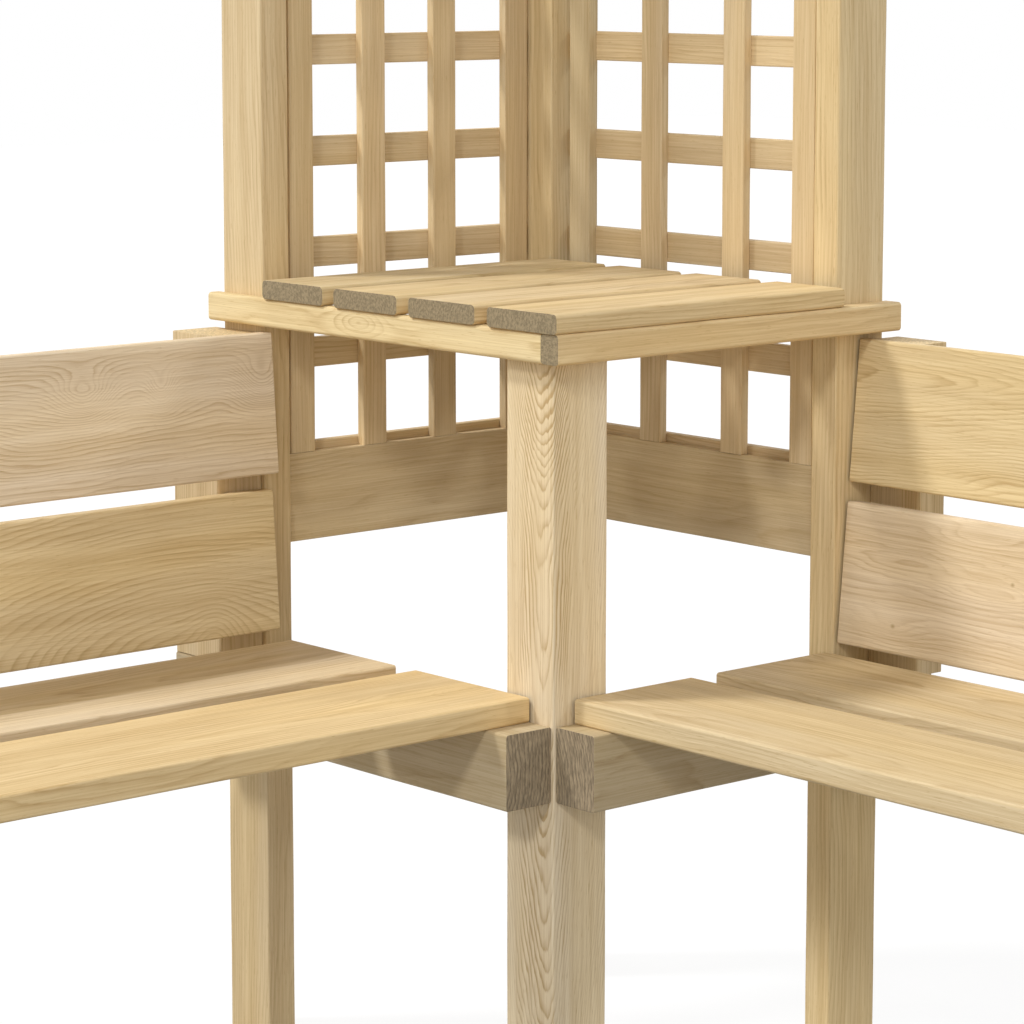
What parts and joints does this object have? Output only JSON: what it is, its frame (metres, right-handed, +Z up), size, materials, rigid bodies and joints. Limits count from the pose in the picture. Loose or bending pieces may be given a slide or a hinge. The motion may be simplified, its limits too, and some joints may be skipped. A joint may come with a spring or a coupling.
{
  "type": "corner arbour seat",
  "caption": "Timber corner arbour seat: benches at a right angle flank an open trellis tower with a slatted corner table under capping boards and rafters.",
  "frame": {"origin": "on the ground, in the middle of the bounding box of the footprint", "axes": "+Z up; one bench runs along +X from the tower, the other along -Y; the inner corner where people sit faces +X and -Y"},
  "size_m": [1.3636, 1.287, 2.016],
  "materials": {
    "post_pine": "pressure-treated pine, planed, dry and unstained",
    "table_pine": "pressure-treated pine, planed, dry and unstained",
    "bench_board_pine": "pressure-treated pine, planed, dry and unstained",
    "bearer_pine": "pressure-treated pine, planed, dry and unstained",
    "trellis_pine": "pressure-treated pine, fine sawn strip",
    "roof_pine": "pressure-treated pine, planed, dry and unstained"
  },
  "bodies": {
    "root": {"apron_left": "table_pine", "apron_right": "table_pine", "bench_left_back_lower": "bench_board_pine", "bench_left_back_upper": "bench_board_pine", "bench_left_bearer_inner": "bearer_pine", "bench_left_bearer_outer": "bearer_pine", "bench_left_leg_back": "post_pine", "bench_left_leg_front": "post_pine", "bench_left_seat_front": "bench_board_pine", "bench_left_seat_rear": "bench_board_pine", "bench_left_support_inner": "post_pine", "bench_left_wedge_lower_inner": "bearer_pine", "bench_left_wedge_lower_outer": "bearer_pine", "bench_left_wedge_upper_inner": "bearer_pine", "bench_left_wedge_upper_outer": "bearer_pine", "bench_right_back_lower": "bench_board_pine", "bench_right_back_upper": "bench_board_pine", "bench_right_bearer_inner": "bearer_pine", "bench_right_bearer_outer": "bearer_pine", "bench_right_leg_back": "post_pine", "bench_right_leg_front": "post_pine", "bench_right_seat_front": "bench_board_pine", "bench_right_seat_rear": "bench_board_pine", "bench_right_support_inner": "post_pine", "bench_right_wedge_lower_inner": "bearer_pine", "bench_right_wedge_lower_outer": "bearer_pine", "bench_right_wedge_upper_inner": "bearer_pine", "bench_right_wedge_upper_outer": "bearer_pine", "cap_left": "roof_pine", "cap_right": "roof_pine", "post_corner": "post_pine", "post_left": "post_pine", "post_right": "post_pine", "post_table": "post_pine", "rafter_back": "roof_pine", "rafter_front": "roof_pine", "rafter_middle": "roof_pine", "table_cleat": "table_pine", "table_slat_1": "table_pine", "table_slat_2": "table_pine", "table_slat_3": "table_pine", "table_slat_4": "table_pine", "trellis_left_corner_stile": "trellis_pine", "trellis_left_lattice": "trellis_pine", "trellis_left_lower_board": "trellis_pine", "trellis_left_post_stile": "trellis_pine", "trellis_left_upper_board": "trellis_pine", "trellis_right_corner_stile": "trellis_pine", "trellis_right_lattice": "trellis_pine", "trellis_right_lower_board": "trellis_pine", "trellis_right_post_stile": "trellis_pine", "trellis_right_upper_board": "trellis_pine"}
  },
  "joints": []
}
